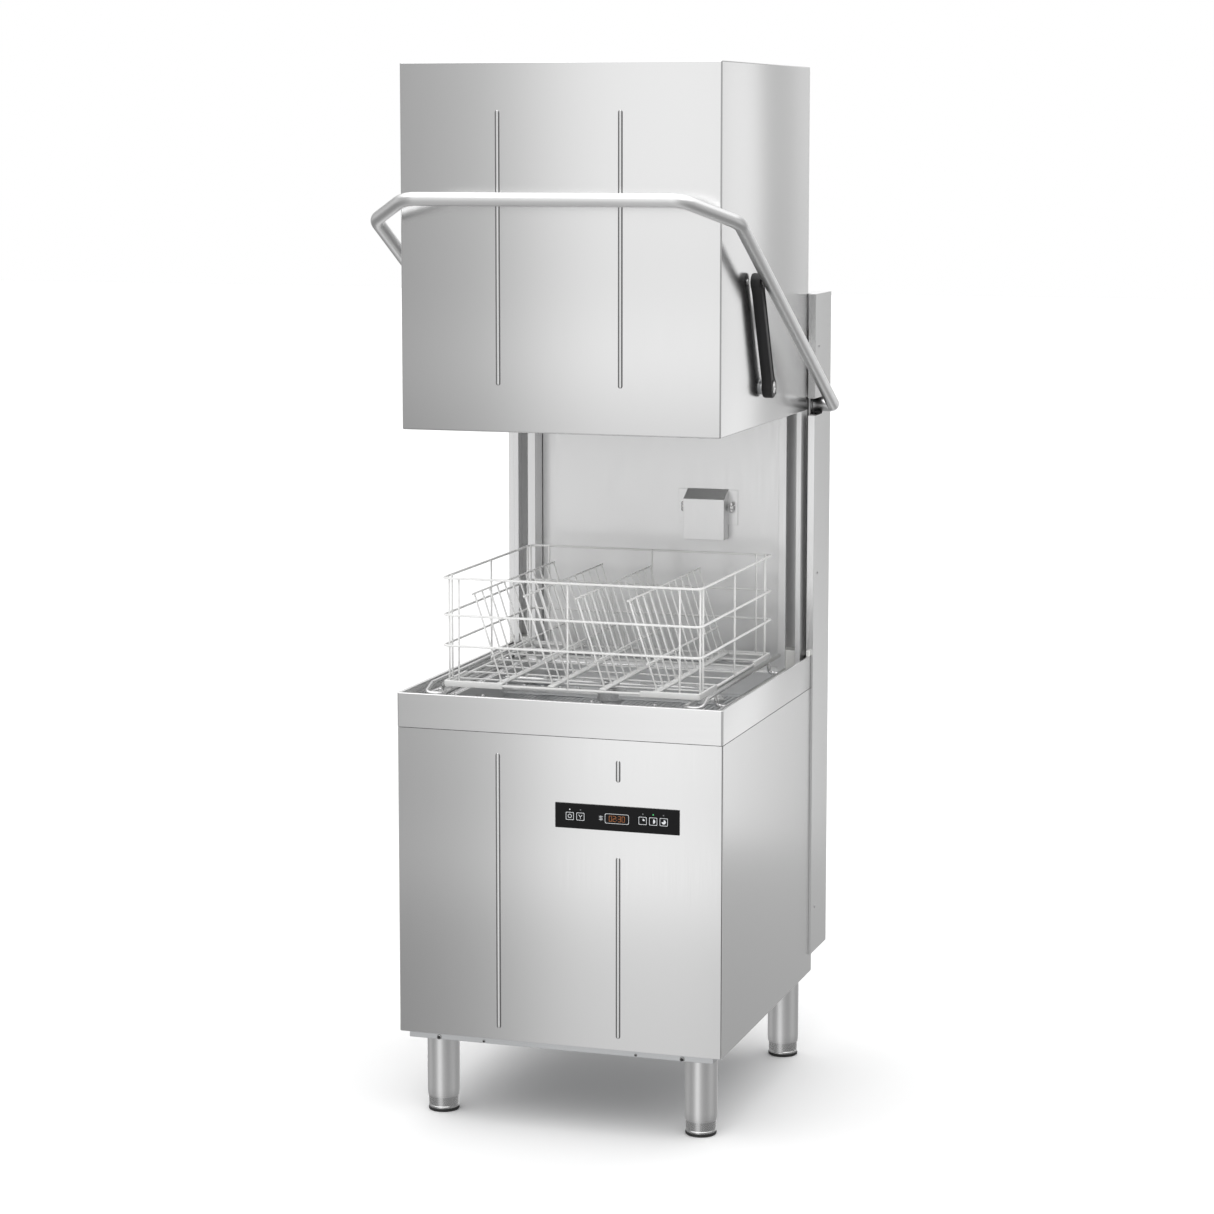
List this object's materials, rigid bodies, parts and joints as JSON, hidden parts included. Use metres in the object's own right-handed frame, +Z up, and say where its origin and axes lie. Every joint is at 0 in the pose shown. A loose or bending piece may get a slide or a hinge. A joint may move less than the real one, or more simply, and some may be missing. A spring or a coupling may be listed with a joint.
{
  "type": "hood dishwasher",
  "caption": "Commercial hood dishwasher on legs, hood raised on rear columns, bail handle with links, wire rack, wash arms and tank inside.",
  "frame": {"origin": "on the floor under the centre of the overall footprint, hood raised", "axes": "+Z up, -Y towards the operator at the control side, +X to the operator's right"},
  "size_m": [0.719, 0.8705, 1.988],
  "materials": {
    "hood_sheet": "polished with a fine brush",
    "panel_sheet": "satin brushed",
    "table_sheet": "satin brushed",
    "chamber_sheet": "bright brushed",
    "inner_steel": "mill finish",
    "tube_steel": "satin",
    "foot_steel": "satin",
    "rod_steel": "bright drawn",
    "bolt_steel": "bright",
    "spring_steel": "drawn wire",
    "arm_steel": "pressed, satin",
    "black_plastic": "moulded, satin",
    "control_glass": "glossy",
    "white_plastic": "moulded",
    "rack_coating": "dipped coating",
    "grey_plastic": "moulded",
    "motor_paint": "enamel",
    "board_green": "lacquered board",
    "brass_fitting": "turned",
    "hose_rubber": "matte"
  },
  "bodies": {
    "chassis": {"frame": "inner_steel", "leg_tubes": "tube_steel", "base_tray": "inner_steel", "side_panel_left": "panel_sheet", "side_panel_right": "panel_sheet", "rear_panel": "inner_steel", "front_panel": "panel_sheet", "screws": "bolt_steel", "table": "table_sheet", "wash_tank": "inner_steel", "back_wall": "chamber_sheet", "vent_deflector": "chamber_sheet", "column_left": "panel_sheet", "column_right": "panel_sheet", "guide_left": "chamber_sheet", "guide_right": "chamber_sheet", "hood_stops": "white_plastic", "pivot_bushes": "bolt_steel", "control_fascia": "control_glass", "control_board": "board_green", "electrical_box": "inner_steel", "boiler": "inner_steel", "tank_element": "bolt_steel", "wash_pump_housing": "black_plastic", "wash_pump_motor": "motor_paint", "drain_pump": "black_plastic", "dosing_pumps": "grey_plastic", "inlet_valve": "brass_fitting", "drain_spigot": "black_plastic", "cable_gland": "black_plastic", "hoses": "hose_rubber", "manifold": "tube_steel", "rack_guide": "rod_steel", "tank_filter": "inner_steel", "sump_filter": "inner_steel", "springs": "spring_steel"},
    "hood": {"hood_shell": "hood_sheet", "hood_frame": "inner_steel", "hood_shoes": "white_plastic"},
    "handle": {"handle": "tube_steel", "lever_arms": "inner_steel"},
    "link_left": {"link_left": "black_plastic"},
    "link_right": {"link_right": "black_plastic"},
    "lower_wash_arm": {"lower_wash_arm": "arm_steel"},
    "lower_rinse_arm": {"lower_rinse_arm": "arm_steel"},
    "upper_wash_arm": {"upper_wash_arm": "arm_steel"},
    "upper_rinse_arm": {"upper_rinse_arm": "arm_steel"},
    "impeller": {"impeller": "grey_plastic"},
    "rack": {"rack_frame": "rack_coating", "rack_dividers": "rack_coating"},
    "standpipe": {"standpipe": "grey_plastic"},
    "foot_front_left": {"foot_front_left": "foot_steel"},
    "foot_front_right": {"foot_front_right": "foot_steel"},
    "foot_rear_left": {"foot_rear_left": "foot_steel"},
    "foot_rear_right": {"foot_rear_right": "foot_steel"},
    "key_power": {"key_power": "control_glass"},
    "key_drain": {"key_drain": "control_glass"},
    "key_short": {"key_short": "control_glass"},
    "key_medium": {"key_medium": "control_glass"},
    "key_long": {"key_long": "control_glass"}
  },
  "joints": [
    {"name": "hood_lift", "type": "slide", "parent": "chassis", "child": "hood", "axis": [0, 0, 1], "range_m": [-0.506, 0], "stiffness_N_per_m": 60, "springref_m": 6.6},
    {"name": "handle_swing", "type": "hinge", "parent": "chassis", "child": "handle", "pos_m": [0, 0.36425, 1.32], "axis": [1, 0, 0], "range_deg": [0, 54], "deforming": ["springs"]},
    {"name": "link_left_swing", "type": "hinge", "parent": "handle", "child": "link_left", "pos_m": [-0.3225, -0.13375, 1.587], "axis": [1, 0, 0], "range_deg": [-51, 0]},
    {"name": "link_right_swing", "type": "hinge", "parent": "handle", "child": "link_right", "pos_m": [0.3225, -0.13375, 1.587], "axis": [1, 0, 0], "range_deg": [-51, 0]},
    {"name": "lower_wash_arm_spin", "type": "hinge", "parent": "chassis", "child": "lower_wash_arm", "pos_m": [0, -0.00875, 0.778], "axis": [0, 0, 1], "continuous": true},
    {"name": "lower_rinse_arm_spin", "type": "hinge", "parent": "chassis", "child": "lower_rinse_arm", "pos_m": [0, -0.00875, 0.799], "axis": [0, 0, 1], "continuous": true},
    {"name": "upper_wash_arm_spin", "type": "hinge", "parent": "chassis", "child": "upper_wash_arm", "pos_m": [0, -0.00875, 1.381], "axis": [0, 0, 1], "continuous": true},
    {"name": "upper_rinse_arm_spin", "type": "hinge", "parent": "chassis", "child": "upper_rinse_arm", "pos_m": [0, -0.00875, 1.36], "axis": [0, 0, 1], "continuous": true},
    {"name": "impeller_spin", "type": "hinge", "parent": "chassis", "child": "impeller", "pos_m": [0.04, -0.00875, 0.33], "axis": [1, 0, 0], "continuous": true},
    {"name": "rack_slide", "type": "slide", "parent": "chassis", "child": "rack", "axis": [0, -1, 0], "range_m": [0, 0.45]},
    {"name": "standpipe_lift", "type": "slide", "parent": "chassis", "child": "standpipe", "axis": [0, 0, 1], "range_m": [0, 0.045]},
    {"name": "foot_front_left_screw", "type": "slide", "parent": "chassis", "child": "foot_front_left", "axis": [0, 0, -1], "range_m": [0, 0.04]},
    {"name": "foot_front_right_screw", "type": "slide", "parent": "chassis", "child": "foot_front_right", "axis": [0, 0, -1], "range_m": [0, 0.04]},
    {"name": "foot_rear_left_screw", "type": "slide", "parent": "chassis", "child": "foot_rear_left", "axis": [0, 0, -1], "range_m": [0, 0.04]},
    {"name": "foot_rear_right_screw", "type": "slide", "parent": "chassis", "child": "foot_rear_right", "axis": [0, 0, -1], "range_m": [0, 0.04]},
    {"name": "key_power_press", "type": "slide", "parent": "chassis", "child": "key_power", "axis": [0, 1, 0], "range_m": [0, 0.0005], "stiffness_N_per_m": 600},
    {"name": "key_drain_press", "type": "slide", "parent": "chassis", "child": "key_drain", "axis": [0, 1, 0], "range_m": [0, 0.0005], "stiffness_N_per_m": 600},
    {"name": "key_short_press", "type": "slide", "parent": "chassis", "child": "key_short", "axis": [0, 1, 0], "range_m": [0, 0.0005], "stiffness_N_per_m": 600},
    {"name": "key_medium_press", "type": "slide", "parent": "chassis", "child": "key_medium", "axis": [0, 1, 0], "range_m": [0, 0.0005], "stiffness_N_per_m": 600},
    {"name": "key_long_press", "type": "slide", "parent": "chassis", "child": "key_long", "axis": [0, 1, 0], "range_m": [0, 0.0005], "stiffness_N_per_m": 600}
  ],
  "couplings": [
    {"joint": "handle_swing", "follows": "hood_lift", "rad_per_m": -1.8565},
    {"joint": "link_left_swing", "follows": "hood_lift", "rad_per_m": 1.7418},
    {"joint": "link_right_swing", "follows": "hood_lift", "rad_per_m": 1.7418}
  ]
}
